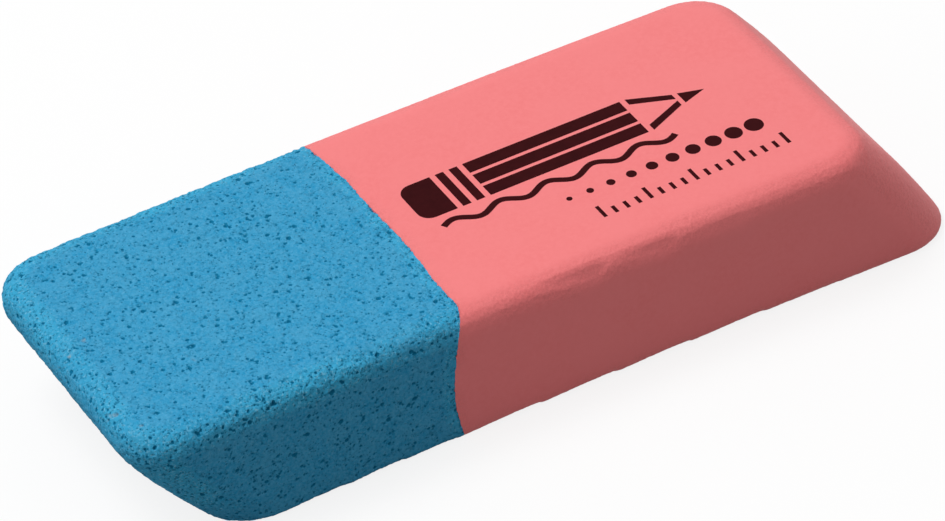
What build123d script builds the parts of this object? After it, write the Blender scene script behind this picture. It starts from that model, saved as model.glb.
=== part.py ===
from build123d import *

import math
import os

# A block eraser of two rubber compounds: a gritty ink end and a smooth pencil end, vulcanised
# together into one block and tumbled until every edge is round.
# Frame, in millimetres: X runs along the block with the ink end at -X, Z is up, and the origin is
# the middle of the block's box on the surface that it lies on.

# The block
sharp_length = 60.8  # between the sharp tips that the slanted ends would have with no rounding
width = 21.5
thickness = 9.5
end_slant = 6.6  # how far each end face leans towards -X between its bottom and its top
end_belly = 0.3  # how far each end face swells outwards at half thickness
plan_bend = 0.47  # how far the block bows towards +Y at the middle of its length
corner_radius = 3.3
top_edge_radius = 1.6
bottom_edge_radius = 0.4

# The bond between the two compounds: a sheet across the block that wandered while it was pressed
ink_top_length = 24.6  # from the sharp tip of the ink end to the bond, along the top face
bond_side_fall = 0.5  # how far the bond falls back towards the ink end at the long sides
bond_foot_fall = 0.35  # how far it falls back between the top face and the bottom face
bond_belly = 0.7  # how far it sags towards the ink end at half thickness
bond_wave = 0.16  # height of its ripple across the width
bond_wave_length = 5.0
bond_wave_start = -0.1  # the place across the width where the ripple starts to rise
bond_rows = 12  # spans of the bond's surface grid up the thickness
bond_columns = 24  # spans of the grid across the width
bond_overrun = 1.0  # how far the grid runs past the block's faces


def plan_band():
    """The block's section at one level, with its ends still square: long sides that bow together."""
    half_length = sharp_length / 2
    half_width = width / 2
    near_y = -half_width - plan_bend
    far_y = half_width - plan_bend
    return make_face(
        [
            ThreePointArc((-half_length, near_y), (0, -half_width), (half_length, near_y)),
            Line((half_length, near_y), (half_length, far_y)),
            ThreePointArc((half_length, far_y), (0, half_width), (-half_length, far_y)),
            Line((-half_length, far_y), (-half_length, near_y)),
        ]
    )


def side_profile():
    """The block seen from its near side: a slanted outline whose ends swell a little."""
    half_length = sharp_length / 2
    ink_foot, ink_tip = (-half_length + end_slant, 0), (-half_length, thickness)
    pencil_foot, pencil_tip = (half_length, 0), (half_length - end_slant, thickness)
    swell_x = end_belly * thickness / math.hypot(thickness, end_slant)
    swell_z = end_belly * end_slant / math.hypot(thickness, end_slant)
    middle_x = half_length - end_slant / 2
    middle_z = thickness / 2
    profile = [
        Line(ink_foot, pencil_foot),
        ThreePointArc(pencil_foot, (middle_x + swell_x, middle_z + swell_z), pencil_tip),
        Line(pencil_tip, ink_tip),
        ThreePointArc(ink_tip, (-middle_x - swell_x, middle_z - swell_z), ink_foot),
    ]
    return Plane.XZ * make_face(profile)


def rounded_block():
    """The whole block: its two outlines extruded through each other, with every edge round."""
    block = extrude(plan_band(), thickness) & extrude(side_profile(), width, both=True)
    corners = [edge for edge in block.edges() if edge.bounding_box().size.Z > 0.9 * thickness]
    block = fillet(corners, corner_radius)
    block = fillet(block.faces().sort_by(Axis.Z)[-1].edges(), top_edge_radius)
    return fillet(block.faces().sort_by(Axis.Z)[0].edges(), bottom_edge_radius)


def bond_x(y, z):
    """Where the bond lies along the block, at the place y across it and z up from its base."""
    across = y / (width / 2)
    depth = 1 - z / thickness
    return (
        ink_top_length
        - sharp_length / 2
        - bond_side_fall * across**2
        - bond_foot_fall * depth
        - bond_belly * 4 * depth * (1 - depth)
        + bond_wave * math.sin(2 * math.pi * (y - bond_wave_start) / bond_wave_length)
    )


def spread(low, high, spans):
    return [low + (high - low) * step / spans for step in range(spans + 1)]


def bond_sheet():
    """The bond as one smooth surface that runs a little past the block on every side."""
    heights = spread(-bond_overrun, thickness + bond_overrun, bond_rows)
    half_width = width / 2 + bond_overrun
    places = spread(-half_width, half_width, bond_columns)
    grid = [[(bond_x(y, z), y, z) for y in places] for z in heights]
    return Face.make_surface_from_array_of_points(grid, tol=0.005, min_deg=3, max_deg=3)


block = rounded_block()
middle = block.bounding_box().center()
halves = split(block, bisect_by=bond_sheet(), keep=Keep.BOTH)
ink_end, pencil_end = (Pos(-middle.X, -middle.Y, 0) * halves).solids().sort_by(Axis.X)

os.makedirs("parts", exist_ok=True)
export_step(ink_end, "parts/ink_end.step")
export_step(pencil_end, "parts/pencil_end.step")

for name, solid in (("ink_end", ink_end), ("pencil_end", pencil_end)):
    box = solid.bounding_box()
    print(name, "volume", round(solid.volume, 1), "from", box.min, "to", box.max)
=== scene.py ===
import math

import bmesh
import bpy
import numpy as np
from mathutils import Matrix, Vector, bvhtree, geometry, kdtree


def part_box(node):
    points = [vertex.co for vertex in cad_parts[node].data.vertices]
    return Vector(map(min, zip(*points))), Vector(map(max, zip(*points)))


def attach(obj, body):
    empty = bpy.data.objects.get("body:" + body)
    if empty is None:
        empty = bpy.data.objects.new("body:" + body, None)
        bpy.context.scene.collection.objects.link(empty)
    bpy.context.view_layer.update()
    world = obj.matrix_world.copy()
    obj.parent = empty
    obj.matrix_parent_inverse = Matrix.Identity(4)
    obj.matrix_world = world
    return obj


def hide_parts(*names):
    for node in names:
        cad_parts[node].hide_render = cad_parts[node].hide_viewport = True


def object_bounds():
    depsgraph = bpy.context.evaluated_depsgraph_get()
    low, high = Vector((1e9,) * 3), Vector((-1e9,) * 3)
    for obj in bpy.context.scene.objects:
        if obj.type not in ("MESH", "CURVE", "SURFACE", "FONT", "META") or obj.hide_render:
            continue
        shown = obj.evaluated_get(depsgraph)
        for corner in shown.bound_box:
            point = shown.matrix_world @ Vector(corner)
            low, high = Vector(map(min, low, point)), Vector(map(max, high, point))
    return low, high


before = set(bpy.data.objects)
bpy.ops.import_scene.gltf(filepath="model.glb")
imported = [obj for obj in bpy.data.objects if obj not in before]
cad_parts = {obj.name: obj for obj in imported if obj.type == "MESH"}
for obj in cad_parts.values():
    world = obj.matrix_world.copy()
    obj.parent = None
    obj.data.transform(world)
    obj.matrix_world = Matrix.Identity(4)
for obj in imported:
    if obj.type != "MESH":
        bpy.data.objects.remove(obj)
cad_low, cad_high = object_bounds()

# A block eraser of two rubber compounds. The CAD solids have smooth faces. Here each end gets the
# skin of its compound: open pores and grit on the ink end, a fine leathery grain on the pencil end.
# Blender's unit is the metre. Sizes below are in millimetres and pass through MM. A depth is how
# far a skin lies below the face of its CAD solid.
MM = 0.001

BASE_Z = cad_low.z / MM
TOP_Z = cad_high.z / MM
THICKNESS = TOP_Z - BASE_Z
MIDDLE = (cad_low + cad_high) / 2 / MM
END_SLANT = 6.6  # how far the block's end faces lean between the base and the top

# Fineness of the modelled skins
INK_VOXEL = 0.065
PENCIL_VOXEL = 0.085
SMOOTHING_SPREAD = 0.22  # how far the smoothing of the CAD facets reaches
UPPER_SPREAD = 0.42  # the same for the wide facets of the rounded top edges
MAX_TRIANGLES = 192000
BOX_MARGIN = 0.012  # how far every skin stays inside the block's CAD box

rng = np.random.default_rng(7)


# ---------------------------------------------------------------- noise and mesh helpers


LATTICE = 32  # cells after which the noise repeats


def lattice_noise(points, cell, seed):
    """Smooth noise from -1 to 1 at each point, with bumps about as large as the cell."""
    table = np.random.default_rng(seed).uniform(-1, 1, (LATTICE, LATTICE, LATTICE))
    scaled = points / cell
    corner = np.floor(scaled).astype(int)
    part = scaled - corner
    part = part * part * part * (part * (part * 6 - 15) + 10)
    total = np.zeros(len(points))
    for dx in (0, 1):
        for dy in (0, 1):
            for dz in (0, 1):
                weight = (
                    np.abs(1 - dx - part[:, 0])
                    * np.abs(1 - dy - part[:, 1])
                    * np.abs(1 - dz - part[:, 2])
                )
                x, y, z = ((corner + (dx, dy, dz)) % LATTICE).T
                total += weight * table[x, y, z]
    return total


def layered_noise(points, cell, seed, layers=3):
    """Noise with finer and weaker layers added."""
    total = np.zeros(len(points))
    for layer in range(layers):
        total += lattice_noise(points, cell / 2**layer, seed + layer) / 2**layer
    return total / (2 - 2 ** (1 - layers))


def smooth_step(low, high, value):
    """0 below the low value, 1 above the high one, and an even rise between them."""
    t = np.clip((value - low) / (high - low), 0, 1)
    return t * t * (3 - 2 * t)


def vertex_places(mesh):
    """The mesh's vertices in millimetres."""
    places = np.empty(len(mesh.vertices) * 3, np.float32)
    mesh.vertices.foreach_get("co", places)
    return places.reshape(-1, 3).astype(float) / MM


def set_vertex_places(mesh, places):
    mesh.vertices.foreach_set("co", (places * MM).astype(np.float32).ravel())
    mesh.update()


def vertex_normals(mesh):
    normals = np.empty(len(mesh.vertices) * 3, np.float32)
    mesh.vertex_normals.foreach_get("vector", normals)
    return normals.reshape(-1, 3).astype(float)


def with_modifiers(obj):
    """The object's mesh with its modifiers applied, as a new mesh."""
    depsgraph = bpy.context.evaluated_depsgraph_get()
    mesh = bpy.data.meshes.new_from_object(obj.evaluated_get(depsgraph))
    obj.modifiers.clear()
    return mesh


def link_object(name, mesh):
    obj = bpy.data.objects.new(name, mesh)
    bpy.context.scene.collection.objects.link(obj)
    return obj


def store(mesh, name, values):
    """Keeps one number a vertex, which the materials read as a field."""
    attribute = mesh.attributes.new(name, "FLOAT", "POINT")
    attribute.data.foreach_set("value", values.astype(np.float32))


# ---------------------------------------------------------------- the bond between the compounds

BOND_FACING = 0.7  # the bond's faces look along the block at least this squarely
BOND_REACH = 2.6  # the bond wanders less than this along the block
BOND_ACROSS, BOND_UP = 9, 4  # terms of the smooth surface, across the block and up it

def bond_vertices():
    """Vertices of the ink end's CAD mesh that lie on the bond, in millimetres."""
    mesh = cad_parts["ink_end"].data
    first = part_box("ink_end")[1].x - BOND_REACH * MM
    found = set()
    for face in mesh.polygons:
        if face.normal.x > BOND_FACING and face.center.x > first:
            found.update(face.vertices)
    return vertex_places(mesh)[sorted(found)]


def bond_terms(y, z):
    """Terms of the smooth surface that is fitted to the bond."""
    across = (y - MIDDLE.y) / 10
    up = (z - MIDDLE.z) / 5
    return np.stack([across**i * up**j for i in range(BOND_ACROSS) for j in range(BOND_UP)], 1)


BOND = bond_vertices()
BOND_SHARES = np.linalg.lstsq(bond_terms(BOND[:, 1], BOND[:, 2]), BOND[:, 0], rcond=None)[0]


def bond_x(places):
    """Where the bond lies along the block beside each place, with the small wander of its grit."""
    y = np.clip(places[:, 1], BOND[:, 1].min(), BOND[:, 1].max())
    z = np.clip(places[:, 2], BOND[:, 2].min(), BOND[:, 2].max())
    smooth = bond_terms(y, z) @ BOND_SHARES
    flat = places * (0, 1, 1)
    return smooth + 0.075 * layered_noise(flat, 0.9, 301) + 0.03 * lattice_noise(flat, 0.22, 311)


# ---------------------------------------------------------------- the skins


def block_shell():
    """The outer faces of both CAD ends in one mesh, with the faces of the bond left out."""
    shell = bmesh.new()
    for node in ("ink_end", "pencil_end"):
        shell.from_mesh(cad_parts[node].data)
    slack = 0.5 * MM
    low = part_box("pencil_end")[0].x - slack
    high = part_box("ink_end")[1].x + slack
    bond_faces = [
        f for f in shell.faces
        if abs(f.normal.x) > BOND_FACING and low < f.calc_center_median().x < high
    ]
    bmesh.ops.delete(shell, geom=bond_faces, context="FACES")
    mesh = bpy.data.meshes.new("shell")
    shell.to_mesh(mesh)
    shell.free()
    return mesh


def fine_skin(voxel):
    """The whole block's skin in small even faces, with the facets of the CAD mesh smoothed out."""
    obj = link_object("skin", block_shell())
    remesh = obj.modifiers.new("remesh", "REMESH")
    remesh.mode = "VOXEL"
    remesh.voxel_size = voxel * MM
    add_smoothing(obj, voxel, SMOOTHING_SPREAD)
    obj.data = with_modifiers(obj)
    # the wide facets lie on the top edges, and the sharp base edge must not be rounded off
    places = vertex_places(obj.data)
    weights = np.round(10 * upper_share(places)) / 10
    group = obj.vertex_groups.new(name="upper")
    for weight in np.unique(weights[weights > 0]):
        group.add(np.flatnonzero(weights == weight).tolist(), float(weight), "REPLACE")
    add_smoothing(obj, voxel, UPPER_SPREAD).vertex_group = "upper"
    mesh = with_modifiers(obj)
    bpy.data.objects.remove(obj)
    return mesh


def add_smoothing(obj, voxel, spread):
    """A smoothing that blurs the skin over about the spread."""
    smooth = obj.modifiers.new("smooth", "SMOOTH")
    smooth.factor = 0.5
    smooth.iterations = max(2, round(4 * (spread / voxel) ** 2))
    return smooth


def upper_share(places):
    """0 on the lower part of the block's sides, 1 on the upper part and the top."""
    return smooth_step(2.5, 5.5, places[:, 2] - BASE_Z)


def cut_at_bond(mesh, side):
    """Keeps the skin on one side of the bond, -1 for the ink end, and closes it with the bond."""
    places = vertex_places(mesh)
    places[:, 0] -= bond_x(places)
    set_vertex_places(mesh, places)
    cut = bmesh.new()
    cut.from_mesh(mesh)
    everything = cut.verts[:] + cut.edges[:] + cut.faces[:]
    bmesh.ops.bisect_plane(
        cut, geom=everything, dist=1e-7, plane_co=(0, 0, 0), plane_no=(1, 0, 0),
        clear_outer=side < 0, clear_inner=side > 0,
    )
    close_with_bond(cut, side)
    bmesh.ops.triangulate(cut, faces=[f for f in cut.faces if len(f.verts) > 4])
    cut.to_mesh(mesh)
    cut.free()
    places = vertex_places(mesh)
    places[:, 0] += bond_x(places)
    set_vertex_places(mesh, places)


def close_with_bond(cut, side):
    """Fills the open rim with a sheet of triangles that are wide enough to follow the bond."""
    rim = [e for e in cut.edges if e.is_boundary]
    rim_verts = sorted({v for e in rim for v in e.verts}, key=lambda v: (v.co.y, v.co.z))
    index = {v: i for i, v in enumerate(rim_verts)}
    flat = [Vector((v.co.y / MM, v.co.z / MM)) for v in rim_verts]
    low = np.min(flat, 0)
    high = np.max(flat, 0)
    step = 0.7
    spots = [
        Vector((y, z))
        for y in np.arange(low[0] + step, high[0] - step / 2, step)
        for z in np.arange(low[1] + step, high[1] - step / 2, step)
    ]
    rim_tree = kdtree.KDTree(len(flat))
    for i, spot in enumerate(flat):
        rim_tree.insert((spot.x, spot.y, 0), i)
    rim_tree.balance()
    spots = [s for s in spots if rim_tree.find((s.x, s.y, 0))[2] > step / 2]
    edges = [(index[e.verts[0]], index[e.verts[1]]) for e in rim]
    points, _, faces, source, _, _ = geometry.delaunay_2d_cdt(flat + spots, edges, [], 1, 1e-6)
    verts = []
    for point, from_points in zip(points, source):
        rim_source = [i for i in from_points if i < len(rim_verts)]
        if rim_source:
            verts.append(rim_verts[rim_source[0]])
        else:
            verts.append(cut.verts.new((0, point.x * MM, point.y * MM)))
    for corners in faces:
        loop = [verts[i] for i in corners]
        if side > 0:
            loop.reverse()
        if len(set(loop)) == len(loop):
            cut.faces.new(loop)


# ---------------------------------------------------------------- depths and fields of the skins

RIM_REACH = 1.6  # how far the wear of the rounded edges runs out over the flat faces
RIM_SAMPLES = 4000  # places on the rounded edges from which that reach is measured
PORE_COUNT = 7200
PORE_RADIUS = 0.064
PORE_SPREAD = 0.34  # of the logarithm of the pores' sizes
PORE_LIMITS = (0.045, 0.17)  # smallest and largest pore radius
PORE_DEPTH = 0.95  # of a pore, as a share of its radius
NEXT_PORE = 0.3  # chance that another pore opens beside one
# Small chips in the ink end's rim, near its near corner, and pale flecks on its top: place, size,
# and depth or strength
CHIPS = [
    ((-28.95, -6.35, 9.24), 0.26, 0.1),
    ((-29.2, -6.25, 9.05), 0.24, 0.1),
    ((-29.42, -6.2, 8.78), 0.16, 0.06),
]
FLECKS = [
    ((-27.45, 0.61, 9.48), 0.17, 0.5),
    ((-28.82, -0.15, 9.31), 0.14, 0.75),
    ((-22.48, -4.77, 9.48), 0.15, 0.4),
    ((-28.08, -8.41, 9.45), 0.13, 0.35),
]


def bend(normals):
    """0 where the skin faces along an axis, and more on the rounded edges and slanted ends."""
    return 1 - np.abs(normals).max(1)


def rim_share(places, normals):
    """1 on the rounded edges and slanted ends, less and less on the flat faces beside them."""
    on_rim = smooth_step(0.015, 0.12, bend(normals))
    rim = np.flatnonzero(on_rim > 0.9)
    rim = rim[:: max(1, len(rim) // RIM_SAMPLES)]
    tree = filled_tree(places[rim])
    away = np.array([tree.find(place)[2] for place in places])
    return np.maximum(on_rim, 1 - smooth_step(0.0, RIM_REACH, away))


def filled_tree(places):
    tree = kdtree.KDTree(len(places))
    for i, place in enumerate(places):
        tree.insert(place, i)
    tree.balance()
    return tree


def ink_depth(places, normals):
    """Depth of the ink end's skin, and the fields that its finish needs."""
    worn = rim_share(places, normals) * (0.65 + 0.5 * layered_noise(places, 3.0, 25))
    worn *= smooth_step(0.5, 3.5, places[:, 2] - BASE_Z)
    seam = 1 - smooth_step(0.2, 1.4, np.abs(bond_x(places) - places[:, 0]))
    worn = np.clip(np.maximum(worn, seam * (0.5 + 0.3 * layered_noise(places, 2.0, 27))), 0, 1)
    swell = 0.035 * (0.5 + 0.5 * layered_noise(places, 6.0, 21))
    peel = (0.02 + 0.03 * worn) * layered_noise(places, 0.5, 31, 2)
    grit = (0.03 + 0.055 * worn) * layered_noise(places, 0.24, 41, 2)
    pores = pore_depth(places)
    chipped = chip_depth(places)
    depth = kept_depth(0.03 + swell + peel + grit, places, normals) + pores + chipped
    return depth, {"pore": pores, "worn": worn, "pale": pale_share(places, chipped)}


def kept_depth(depth, places, normals):
    """The depth, less what the smoothing takes off the rounded top edges, and never too little."""
    bent = upper_share(places) * smooth_step(0.04, 0.2, bend(normals))
    return np.maximum(depth - 0.05 * bent, 0.006 - 0.07 * bent)


def pore_depth(places):
    """Depth of the open pores, each an uneven pit, often in twos and threes."""
    tree = filled_tree(places)
    depth = np.zeros(len(places))
    wobble = 0.4 * lattice_noise(places, 0.1, 51)
    for centre in places[rng.integers(0, len(places), PORE_COUNT)]:
        radius = float(np.clip(PORE_RADIUS * math.exp(rng.normal(0, PORE_SPREAD)), *PORE_LIMITS))
        spots = [(centre, radius)]
        while len(spots) < 4 and rng.random() < NEXT_PORE:
            turn = rng.normal(size=3)
            turn /= np.linalg.norm(turn)
            spots.append((centre + turn * radius * 1.6, radius * rng.uniform(0.55, 0.95)))
        for spot, size in spots:
            near = tree.find_range(spot, size * 1.9)
            ids = np.array([hit[1] for hit in near], int)
            if len(ids) == 0:
                continue
            away = np.array([hit[2] for hit in near]) / size
            pit = size * PORE_DEPTH * (1 - smooth_step(0.3, 1.25, away + wobble[ids]))
            depth[ids] = np.maximum(depth[ids], pit)
    return depth


def chip_depth(places):
    """Depth of the chips."""
    uneven = 0.9 * layered_noise(places, 0.3, 91)
    depth = np.zeros(len(places))
    for place, size, deep in CHIPS:
        away = np.linalg.norm(places - place, axis=1) / size + uneven
        depth = np.maximum(depth, deep * (1 - smooth_step(0.45, 1.1, away)))
    return depth


def pale_share(places, chipped):
    """How pale the ink end is, on its flecks and in its chips."""
    share = 0.34 * smooth_step(0.02, 0.09, chipped)
    uneven = 0.3 * lattice_noise(places, 0.15, 95)
    for place, size, strength in FLECKS:
        away = np.linalg.norm(places - place, axis=1) / size + uneven
        share = np.maximum(share, strength * (1 - smooth_step(0.5, 1.1, away)))
    return share


def pencil_depth(places, normals):
    """Depth of the pencil end's skin, and how rough it is there."""
    rims = rim_share(places, normals)
    swell = 0.03 * (0.5 + 0.5 * layered_noise(places, 7.0, 61))
    patches = 0.6 + 0.4 * smooth_step(-0.35, 0.45, layered_noise(places, 2.2, 71))
    rough = rims * rims * patches
    grain = (0.002 + 0.02 * rough) * layered_noise(places, 0.2, 81, 2)
    return kept_depth(0.014 + swell + grain, places, normals), {"rough": rough}


def light_mesh(obj, triangles):
    """Joins faces where the skin is flat, down to the number of triangles, and returns the mesh."""
    obj.data.calc_loop_triangles()
    now = len(obj.data.loop_triangles)
    if now > triangles:
        decimate = obj.modifiers.new("decimate", "DECIMATE")
        decimate.ratio = triangles / now
        obj.data = with_modifiers(obj)
    return obj.data


def skin_piece(name, node, side, voxel, depth_of):
    """One end's skin as a piece that stands for its CAD node."""
    mesh = fine_skin(voxel)
    cut_at_bond(mesh, side)
    mesh.update()
    places = vertex_places(mesh)
    on_bond = np.abs(places[:, 0] - bond_x(places)) < 1e-3
    normals = vertex_normals(mesh)
    depth, fields = depth_of(places, normals)
    inside = inside_bond(mesh, on_bond)
    outward = normals.copy()
    outward[on_bond, 0] = 0
    outward /= np.maximum(np.linalg.norm(outward, axis=1), 1e-9)[:, None]
    places -= outward * (depth * ~inside)[:, None]
    set_vertex_places(mesh, places)
    for label, values in fields.items():
        store(mesh, label, values * ~inside)
    obj = link_object(name, mesh)
    light_mesh(obj, MAX_TRIANGLES)
    set_vertex_places(obj.data, inside_box(vertex_places(obj.data)))
    obj.data.shade_smooth()
    sharpen_bond_rim(obj.data)
    lay_out(obj.data)
    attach(obj, "root")
    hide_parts(node)
    return obj


def inside_box(places):
    """The places, with those that reach out of the block's CAD box moved back into it."""
    low, high = np.array(cad_low) / MM, np.array(cad_high) / MM
    return np.clip(places, low + BOX_MARGIN, high - BOX_MARGIN)


def inside_bond(mesh, on_bond):
    """Vertices on the bond that no outer face touches."""
    touched = np.zeros(len(mesh.vertices), bool)
    starts = np.empty(len(mesh.polygons), int)
    mesh.polygons.foreach_get("loop_start", starts)
    corners = np.empty(len(mesh.loops), int)
    mesh.loops.foreach_get("vertex_index", corners)
    face_of = np.repeat(np.arange(len(starts)), np.diff(np.append(starts, len(corners))))
    flat = np.ones(len(starts), bool)
    np.logical_and.at(flat, face_of, on_bond[corners])
    touched[corners[~flat[face_of]]] = True
    return on_bond & ~touched


def sharpen_bond_rim(mesh):
    """Keeps the rim between the skin and the bond sharp, so that neither shades the other."""
    mesh.set_sharp_from_angle(angle=math.radians(65))


# ---------------------------------------------------------------- the print on the pencil end

PRINT_RISE = 0.008
PRINT_ROOT = 0.03  # how far the print reaches down into the skin
PRINT_STEP = 0.45  # size of the triangles that follow the skin

# The print is a plain stencil: a pencil over the line that it draws, a row of growing dots and a
# scale of short and long ticks. X and Y are in millimetres on the top face.
PENCIL_Y = 0.95
PENCIL_HALF = 1.85  # half the pencil's width
PENCIL_LOW, PENCIL_HIGH = PENCIL_Y - PENCIL_HALF, PENCIL_Y + PENCIL_HALF
WAVE_Y = -2.0
WAVE_LEFT, WAVE_RIGHT = -3.4, 13.6
WAVE_LENGTH = 3.4
DOTS_Y = -3.95
TICKS_Y = -6.75


def bar(left, right, low, high):
    """The outline of an upright rectangle."""
    return [(left, low), (right, low), (right, high), (left, high)]


def stroke(points, thick):
    """The outline of a line drawn through the points with a round nib."""
    points = np.array(points, float)
    along = np.gradient(points, axis=0)
    along /= np.linalg.norm(along, axis=1)[:, None]
    off = np.stack([-along[:, 1], along[:, 0]], 1) * thick / 2
    return [tuple(p) for p in (*(points - off), *(points + off)[::-1])]


def disc(x, y, radius, spans=28):
    """The outline of a round dot."""
    turns = np.linspace(0, 2 * math.pi, spans, endpoint=False)
    return [(x + radius * math.cos(t), y + radius * math.sin(t)) for t in turns]


def pencil_shapes():
    """The pencil's rubber, ferrule, three long faces, cone and lead."""
    radius = 0.9
    round_end = [
        (-3.3 + radius * math.cos(t), PENCIL_Y + side * (PENCIL_HALF - radius) + radius * math.sin(t))
        for side, turns in ((1, np.linspace(0.5, 1, 9)), (-1, np.linspace(1, 1.5, 9)))
        for t in turns * math.pi
    ]
    shapes = [[(-1.75, PENCIL_LOW), (-1.75, PENCIL_HIGH), *round_end][::-1]]
    shapes += [bar(x, x + 0.6, PENCIL_LOW, PENCIL_HIGH) for x in (-1.35, -0.35)]
    face, pitch = 1.05, 1.325
    for i in range(3):
        y = PENCIL_LOW + i * pitch
        shapes.append(bar(0.65, 12.3, y, y + face))
    left, right = 12.7, 15.5
    for side in (-1, 1):
        edge = PENCIL_Y + side * PENCIL_HALF
        toward = PENCIL_Y + side * 0.62
        cone = [(left, edge), (left, edge - side * 0.6), (right, toward - side * 0.52), (right, toward)]
        shapes.append(cone if side < 0 else cone[::-1])
    shapes.append([(15.85, PENCIL_Y - 0.56), (17.55, PENCIL_Y), (15.85, PENCIL_Y + 0.56)])
    return shapes


def wave_shape():
    """The wavy line under the pencil."""
    xs = np.linspace(WAVE_LEFT, WAVE_RIGHT, 120)
    rise = 0.33
    wave = [(x, WAVE_Y + rise * math.sin(2 * math.pi * (x - WAVE_LEFT) / WAVE_LENGTH)) for x in xs]
    return stroke(wave, 0.46)


def tick_shapes():
    """A scale of 17 ticks, every fourth of them long."""
    pitch, thick, short, long = 0.85, 0.26, 0.7, 1.2
    shapes = []
    for tick in range(17):
        x = 5.5 + pitch * tick
        shapes.append(bar(x, x + thick, TICKS_Y, TICKS_Y + (short if tick % 4 else long)))
    return shapes


def print_shapes():
    dots = [disc(4.6 + 1.52 * i, DOTS_Y, 0.2 + 0.05 * i) for i in range(10)]
    return [*pencil_shapes(), wave_shape(), *dots, *tick_shapes()]


def add_flake(out, outline, skin):
    """One printed shape as a thin closed sheet that follows the skin."""
    corners = [Vector(p) for p in outline]
    rim = []
    for here, there in zip(corners, corners[1:] + corners[:1]):
        spans = max(1, math.ceil((there - here).length / PRINT_STEP))
        rim += [here.lerp(there, i / spans) for i in range(spans)]
    low, high = np.min(corners, 0), np.max(corners, 0)
    inner = [
        Vector((x, y))
        for x in np.arange(low[0] + PRINT_STEP / 2, high[0], PRINT_STEP)
        for y in np.arange(low[1] + PRINT_STEP / 2, high[1], PRINT_STEP)
        if min((Vector((x, y)) - p).length for p in rim) > PRINT_STEP / 3
    ]
    edges = [(i, (i + 1) % len(rim)) for i in range(len(rim))]
    points, _, faces, _, _, _ = geometry.delaunay_2d_cdt(rim + inner, edges, [], 1, 1e-6)
    used = sorted({i for face in faces for i in face})
    tops, roots = {}, {}
    for i in used:
        x, y = points[i] * MM
        height = skin.ray_cast((x, y, (TOP_Z + 1) * MM), (0, 0, -1))[0].z
        tops[i] = out.verts.new((x, y, height + PRINT_RISE * MM))
        roots[i] = out.verts.new((x, y, height - PRINT_ROOT * MM))
    sides = {}
    for face in faces:
        out.faces.new([tops[i] for i in face])
        out.faces.new([roots[i] for i in reversed(face)])
        for i, j in zip(face, [*face[1:], face[0]]):
            sides[(i, j)] = True
    for i, j in sides:
        if (j, i) not in sides:
            out.faces.new([tops[j], tops[i], roots[i], roots[j]])


def print_piece(skin_mesh):
    """All printed shapes as one piece on top of the pencil end's skin."""
    verts = [v.co for v in skin_mesh.vertices]
    skin = bvhtree.BVHTree.FromPolygons(verts, [tuple(p.vertices) for p in skin_mesh.polygons])
    out = bmesh.new()
    for outline in print_shapes():
        add_flake(out, outline, skin)
    bmesh.ops.triangulate(out, faces=out.faces[:])
    mesh = bpy.data.meshes.new("print_marks")
    out.to_mesh(mesh)
    out.free()
    obj = link_object("print_marks", mesh)
    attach(obj, "root")
    return obj


# ---------------------------------------------------------------- the maps' layout


def lay_out(mesh):
    """A map with one island for each side of the block, all at one scale, for baked finishes."""
    places = vertex_places(mesh)
    low, high = places.min(0), places.max(0)
    corners = np.empty(len(mesh.loops), int)
    mesh.loops.foreach_get("vertex_index", corners)
    sizes = np.empty(len(mesh.polygons), int)
    mesh.polygons.foreach_get("loop_total", sizes)
    centres = np.empty(len(mesh.polygons) * 3, np.float32)
    mesh.polygons.foreach_get("center", centres)
    centres = centres.reshape(-1, 3) / MM
    # how far each face lies from every side of the piece; the nearest side gets it, the bond last
    reach = np.stack([
        TOP_Z - centres[:, 2],
        centres[:, 2] - BASE_Z,
        centres[:, 1] - low[1],
        high[1] - centres[:, 1],
        end_distance(centres, low, high),
        np.abs(centres[:, 0] - bond_x(centres)) + 0.2,
    ], 1)
    side = reach.argmin(1)
    axes_of = [(0, 1), (0, 1), (0, 2), (0, 2), (1, 2), (1, 2)]
    length, width, height = high - low
    gap = 0.6
    starts = [(0, 0), (0, width + gap), (0, 2 * (width + gap)), (0, 2 * (width + gap) + height + gap)]
    starts += [(length + gap, 0), (length + gap, height + gap)]
    whole = max(length + gap + width, 2 * (width + height) + 3 * gap) + 2 * gap
    loop_side = np.repeat(side, sizes)
    flat = np.empty((len(corners), 2), np.float32)
    for i, (axes, start) in enumerate(zip(axes_of, starts)):
        mine = loop_side == i
        spots = (places - low)[corners[mine]][:, axes]
        flat[mine] = (spots + start + gap) / whole
    layer = mesh.uv_layers.new(name="OFBake")
    layer.data.foreach_set("uv", flat.ravel())


def end_distance(centres, low, high):
    """Distance of each face from the slanted end face of its piece."""
    up = (centres[:, 2] - BASE_Z) / THICKNESS
    lean = END_SLANT * (1 - up)
    if low[0] < cad_low.x / MM + 1:
        return centres[:, 0] - (low[0] + lean)
    return high[0] - END_SLANT * up - centres[:, 0]


# ---------------------------------------------------------------- materials


def new_material(name):
    """A material with its node tree and its Principled shader."""
    material = bpy.data.materials.new(name)
    material.use_nodes = True
    tree = material.node_tree
    return material, tree, tree.nodes["Principled BSDF"]


def node(tree, kind, **settings):
    made = tree.nodes.new(kind)
    for key, value in settings.items():
        setattr(made, key, value)
    return made


def millimetre_coordinates(tree):
    """Object coordinates in millimetres."""
    source = node(tree, "ShaderNodeTexCoord")
    scale = node(tree, "ShaderNodeVectorMath", operation="SCALE")
    scale.inputs["Scale"].default_value = 1 / MM
    tree.links.new(source.outputs["Object"], scale.inputs[0])
    return scale.outputs[0]


def noise_value(tree, place, per_mm, detail=3.0, roughness=0.55):
    """Noise between 0 and 1, about 0.5, with so many bumps a millimetre."""
    made = node(tree, "ShaderNodeTexNoise")
    made.inputs["Scale"].default_value = per_mm
    made.inputs["Detail"].default_value = detail
    made.inputs["Roughness"].default_value = roughness
    tree.links.new(place, made.inputs["Vector"])
    return made.outputs["Fac"]


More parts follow.
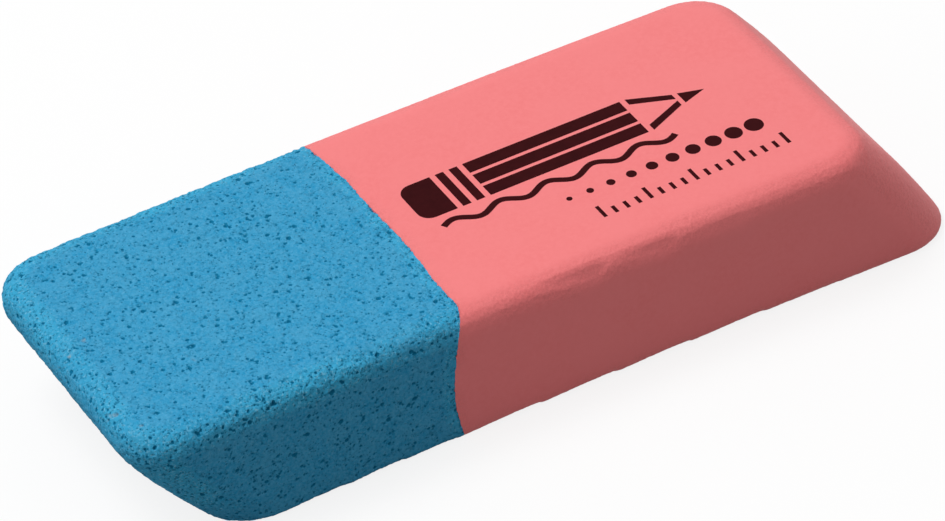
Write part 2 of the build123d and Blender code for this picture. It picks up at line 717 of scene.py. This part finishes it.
def ranged(tree, value, low, high, to_low=0.0, to_high=1.0):
    """The value carried from one range to another, and held at its ends."""
    made = node(tree, "ShaderNodeMapRange")
    made.inputs["From Min"].default_value = low
    made.inputs["From Max"].default_value = high
    made.inputs["To Min"].default_value = to_low
    made.inputs["To Max"].default_value = to_high
    tree.links.new(value, made.inputs["Value"])
    return made.outputs["Result"]


def mixed(tree, share, first, second):
    """A colour between two, each a colour or a socket."""
    made = node(tree, "ShaderNodeMix", data_type="RGBA")
    tree.links.new(share, made.inputs["Factor"])
    for socket, value in ((made.inputs[6], first), (made.inputs[7], second)):
        if isinstance(value, tuple):
            socket.default_value = (*value, 1)
        else:
            tree.links.new(value, socket)
    return made.outputs[2]


def math_value(tree, operation, first, second):
    """Two numbers or sockets put together."""
    made = node(tree, "ShaderNodeMath", operation=operation)
    for socket, value in zip(made.inputs, (first, second)):
        if isinstance(value, (int, float)):
            socket.default_value = value
        else:
            tree.links.new(value, socket)
    return made.outputs[0]


def bumped(tree, height, distance, strength):
    """A normal that shows the height, with the distance in millimetres."""
    made = node(tree, "ShaderNodeBump")
    made.inputs["Distance"].default_value = distance * MM
    made.inputs["Strength"].default_value = strength
    tree.links.new(height, made.inputs["Height"])
    return made.outputs["Normal"]


def field(tree, name):
    """A number that the mesh stores at each vertex."""
    return node(tree, "ShaderNodeAttribute", attribute_name=name).outputs["Fac"]


def shaken(tree, place, per_mm, reach):
    """The place moved about by noise, so that round spots come out uneven."""
    noise = node(tree, "ShaderNodeTexNoise")
    noise.inputs["Scale"].default_value = per_mm
    tree.links.new(place, noise.inputs["Vector"])
    centred = node(tree, "ShaderNodeVectorMath", operation="SUBTRACT")
    centred.inputs[1].default_value = (0.5, 0.5, 0.5)
    tree.links.new(noise.outputs["Color"], centred.inputs[0])
    scaled = node(tree, "ShaderNodeVectorMath", operation="SCALE")
    scaled.inputs["Scale"].default_value = reach
    tree.links.new(centred.outputs[0], scaled.inputs[0])
    moved = node(tree, "ShaderNodeVectorMath", operation="ADD")
    tree.links.new(place, moved.inputs[0])
    tree.links.new(scaled.outputs[0], moved.inputs[1])
    return moved.outputs[0]


def pinholes(tree, place, per_mm, widest):
    """1 in small uneven spots, each of its own size, and 0 between them."""
    cells = node(tree, "ShaderNodeTexVoronoi")
    cells.inputs["Scale"].default_value = per_mm
    tree.links.new(shaken(tree, place, 7.0, 0.16), cells.inputs["Vector"])
    chance = node(tree, "ShaderNodeSeparateColor")
    tree.links.new(cells.outputs["Color"], chance.inputs[0])
    size = ranged(tree, chance.outputs[0], 0.35, 1.0, 0.0, widest * per_mm)
    inside = math_value(tree, "SUBTRACT", size, cells.outputs["Distance"])
    return ranged(tree, inside, 0.0, 0.03 * per_mm)


def ink_rubber():
    """Mottled blue with painted shade in its pores and holes, brighter and grainier where it is worn:
    the brightness there is part abrasion, part painted highlight.
    """
    material, tree, shader = new_material("abrasive_rubber")
    place = millimetre_coordinates(tree)
    pore, worn = field(tree, "pore"), field(tree, "worn")
    broad = ranged(tree, noise_value(tree, place, 0.7), 0.35, 0.65)
    body = mixed(tree, broad, (0.014, 0.295, 0.56), (0.045, 0.33, 0.57))
    fine = ranged(tree, noise_value(tree, place, 4.5, 4.0, 0.7), 0.35, 0.72)
    body = mixed(tree, fine, body, (0.075, 0.4, 0.67))
    # partly painted highlight: the worn rims are made lighter, part for abrasion and part for the light
    # their rounded faces catch
    scuffs_and_rim_light = math_value(tree, "MULTIPLY", ranged(tree, worn, 0.15, 0.8), 0.85)
    body = mixed(tree, scuffs_and_rim_light, body, (0.05, 0.46, 0.75))
    # painted highlights: bright grains on the worn skin stand for glints of light on its grit
    painted_glints = ranged(tree, noise_value(tree, place, 5.6, 3.0, 0.65), 0.54, 0.66)
    painted_glints = math_value(tree, "MULTIPLY", painted_glints, ranged(tree, worn, 0.1, 0.8, 0.25, 0.9))
    body = mixed(tree, painted_glints, body, (0.2, 0.55, 0.76))
    # painted shade: small holes, and specks that are fuller where worn, get a dark colour for the shade
    # inside tiny pits; the bump dips there too
    holes = math_value(
        tree, "MAXIMUM", pinholes(tree, place, 2.1, 0.105), pinholes(tree, place, 3.4, 0.072)
    )
    specks = ranged(tree, noise_value(tree, place, 4.4, 3.0, 0.65), 0.55, 0.65)
    specks = math_value(tree, "MULTIPLY", specks, ranged(tree, worn, 0.1, 0.8, 0.5, 1.0))
    low = math_value(tree, "MAXIMUM", holes, specks)
    body = mixed(tree, math_value(tree, "MULTIPLY", low, 0.85), body, (0.003, 0.17, 0.33))
    # painted shade: the deeper a modelled pore, the darker its colour, for the shade inside it
    body = mixed(tree, ranged(tree, pore, 0.008, 0.045), body, (0.003, 0.185, 0.35))
    colour = mixed(tree, field(tree, "pale"), body, (0.42, 0.44, 0.41))
    tree.links.new(colour, shader.inputs["Base Color"])
    grain = math_value(tree, "SUBTRACT", noise_value(tree, place, 5.0, 3.0, 0.65), 0.5)
    grain = math_value(tree, "MULTIPLY", grain, ranged(tree, worn, 0.0, 0.8, 1.5, 4.0))
    height = math_value(tree, "SUBTRACT", grain, low)
    tree.links.new(bumped(tree, height, 0.05, 0.8), shader.inputs["Normal"])
    shader.inputs["Roughness"].default_value = 0.85
    shader.inputs["Specular IOR Level"].default_value = 0.12
    return material


def pencil_rubber():
    """Even pink, with a fine grain where the skin is rough."""
    material, tree, shader = new_material("soft_rubber")
    place = millimetre_coordinates(tree)
    rough = field(tree, "rough")
    broad = ranged(tree, noise_value(tree, place, 0.25), 0.35, 0.65)
    fine = ranged(tree, noise_value(tree, place, 3.0, 4.0, 0.6), 0.35, 0.65)
    body = mixed(tree, broad, (0.89, 0.185, 0.19), (0.90, 0.20, 0.205))
    body = mixed(tree, fine, body, (0.91, 0.205, 0.21))
    specks = ranged(tree, noise_value(tree, place, 7.0, 3.0, 0.65), 0.42, 0.62)
    specks = math_value(tree, "MULTIPLY", specks, ranged(tree, rough, 0.1, 0.8, 0.0, 0.45))
    body = mixed(tree, specks, body, (0.72, 0.14, 0.14))
    tree.links.new(body, shader.inputs["Base Color"])
    grain = math_value(tree, "SUBTRACT", noise_value(tree, place, 6.0, 3.0, 0.65), 0.5)
    height = math_value(tree, "MULTIPLY", grain, ranged(tree, rough, 0, 0.8, 0.12, 1.0))
    tree.links.new(bumped(tree, height, 0.05, 0.8), shader.inputs["Normal"])
    shader.inputs["Roughness"].default_value = 0.55
    shader.inputs["Specular IOR Level"].default_value = 0.5
    return material


def print_ink():
    """A dull, nearly black red."""
    material, tree, shader = new_material("print_ink")
    place = millimetre_coordinates(tree)
    patchy = ranged(tree, noise_value(tree, place, 1.5, 4.0, 0.6), 0.35, 0.65)
    colour = mixed(tree, patchy, (0.033, 0.0026, 0.0038), (0.041, 0.0036, 0.005))
    tree.links.new(colour, shader.inputs["Base Color"])
    tree.links.new(bumped(tree, noise_value(tree, place, 8.0), 0.01, 0.4), shader.inputs["Normal"])
    shader.inputs["Roughness"].default_value = 0.8
    shader.inputs["Specular IOR Level"].default_value = 0.05
    return material


# ---------------------------------------------------------------- stage, lights and camera

CAMERA_AZIMUTH = math.radians(-27.542)
CAMERA_ELEVATION = math.radians(39.586)
CAMERA_ROLL = math.radians(-3.6)
CAMERA_DISTANCE = 363.862
CAMERA_SLIDE = (0.384, 0.763)  # of the view's middle from the block's middle, right and up
LENS = 217.617


def make_camera():
    """A long lens that looks down on the near side and the ink end."""
    back = Vector((
        math.sin(CAMERA_AZIMUTH) * math.cos(CAMERA_ELEVATION),
        -math.cos(CAMERA_AZIMUTH) * math.cos(CAMERA_ELEVATION),
        math.sin(CAMERA_ELEVATION),
    ))
    level = Vector((0, 0, 1)).cross(back).normalized()
    upright = back.cross(level)
    right = math.cos(CAMERA_ROLL) * level + math.sin(CAMERA_ROLL) * upright
    up = math.cos(CAMERA_ROLL) * upright - math.sin(CAMERA_ROLL) * level
    place = MIDDLE + back * CAMERA_DISTANCE - right * CAMERA_SLIDE[0] - up * CAMERA_SLIDE[1]
    data = bpy.data.cameras.new("camera")
    data.lens = LENS
    data.sensor_width = 36
    data.clip_start = 0.01
    camera = link_object("camera", data)
    turn = Matrix((right, up, back)).transposed().to_4x4()
    camera.matrix_world = Matrix.Translation(place * MM) @ turn
    bpy.context.scene.camera = camera


def seen_rays(tree):
    """1 for the rays that show the background itself: camera, glossy and transmission rays."""
    path = node(tree, "ShaderNodeLightPath")
    seen = math_value(tree, "MAXIMUM", path.outputs["Is Camera Ray"], path.outputs["Is Glossy Ray"])
    return math_value(tree, "MAXIMUM", seen, path.outputs["Is Transmission Ray"])


AMBIENT = 0.395  # light from all around, beside the white that is shown
FLOOR_BOUNCE = 0.25  # share of light that the floor throws on the block
FLOOR_SHADE = 0.16  # share of the shown floor's white that a shadow can take away
FLOOR_GLOW = 0.84
LAMP_DISTANCE = 0.7
LAMP_SIZE = 0.35


def make_world():
    world = bpy.data.worlds.new("world")
    bpy.context.scene.world = world
    world.use_nodes = True
    tree = world.node_tree
    background = tree.nodes["Background"]
    background.inputs["Color"].default_value = (1, 1, 1, 1)
    strength = ranged(tree, seen_rays(tree), 0, 1, AMBIENT, 1.0)
    tree.links.new(strength, background.inputs["Strength"])


def make_floor():
    """A pale floor that keeps the block's shadow and throws little light back up."""
    half = 3.0
    mesh = bpy.data.meshes.new("floor")
    level = BASE_Z * MM
    corners = [(-half, -half, level), (half, -half, level), (half, half, level), (-half, half, level)]
    mesh.from_pydata(corners, [], [(0, 1, 2, 3)])
    floor = link_object("floor", mesh)
    material = bpy.data.materials.new("floor")
    material.use_nodes = True
    tree = material.node_tree
    tree.nodes.remove(tree.nodes["Principled BSDF"])
    pale = node(tree, "ShaderNodeBsdfDiffuse")
    pale.inputs["Color"].default_value = (FLOOR_SHADE, FLOOR_SHADE, FLOOR_SHADE, 1)
    glow = node(tree, "ShaderNodeEmission")
    glow.inputs["Strength"].default_value = FLOOR_GLOW
    shown = node(tree, "ShaderNodeAddShader")
    tree.links.new(pale.outputs[0], shown.inputs[0])
    tree.links.new(glow.outputs[0], shown.inputs[1])
    dull = node(tree, "ShaderNodeBsdfDiffuse")
    dull.inputs["Color"].default_value = (FLOOR_BOUNCE, FLOOR_BOUNCE, FLOOR_BOUNCE, 1)
    choice = node(tree, "ShaderNodeMixShader")
    tree.links.new(seen_rays(tree), choice.inputs[0])
    tree.links.new(dull.outputs[0], choice.inputs[1])
    tree.links.new(shown.outputs[0], choice.inputs[2])
    tree.links.new(choice.outputs[0], tree.nodes["Material Output"].inputs["Surface"])
    mesh.materials.append(material)


def make_lamp(name, towards, irradiance):
    """A square soft lamp. The irradiance is what it gives a surface that faces it, over pi."""
    data = bpy.data.lights.new(name, "AREA")
    data.size = LAMP_SIZE
    direction = Vector(towards).normalized()
    # a small area lamp of power P gives P / (pi * distance^2) on its axis
    data.energy = irradiance * math.pi * math.pi * LAMP_DISTANCE**2
    lamp = link_object(name, data)
    lamp.location = MIDDLE * MM + direction * LAMP_DISTANCE
    lamp.rotation_euler = direction.to_track_quat("Z", "Y").to_euler()


# ---------------------------------------------------------------- the scene

bpy.context.scene.view_settings.view_transform = "Standard"

ink = skin_piece("ink_skin", "ink_end", -1, INK_VOXEL, ink_depth)
pencil = skin_piece("pencil_skin", "pencil_end", 1, PENCIL_VOXEL, pencil_depth)
ink.data.materials.append(ink_rubber())
pencil.data.materials.append(pencil_rubber())
marks = print_piece(pencil.data)
marks.data.materials.append(print_ink())

make_camera()
make_world()
make_floor()
make_lamp("key", (-0.3, 0.22, 0.85), 0.57)
make_lamp("left", (-0.85, 0.1, 0.5), 0.10)
make_lamp("back", (0.5, 0.75, 0.45), 0.08)
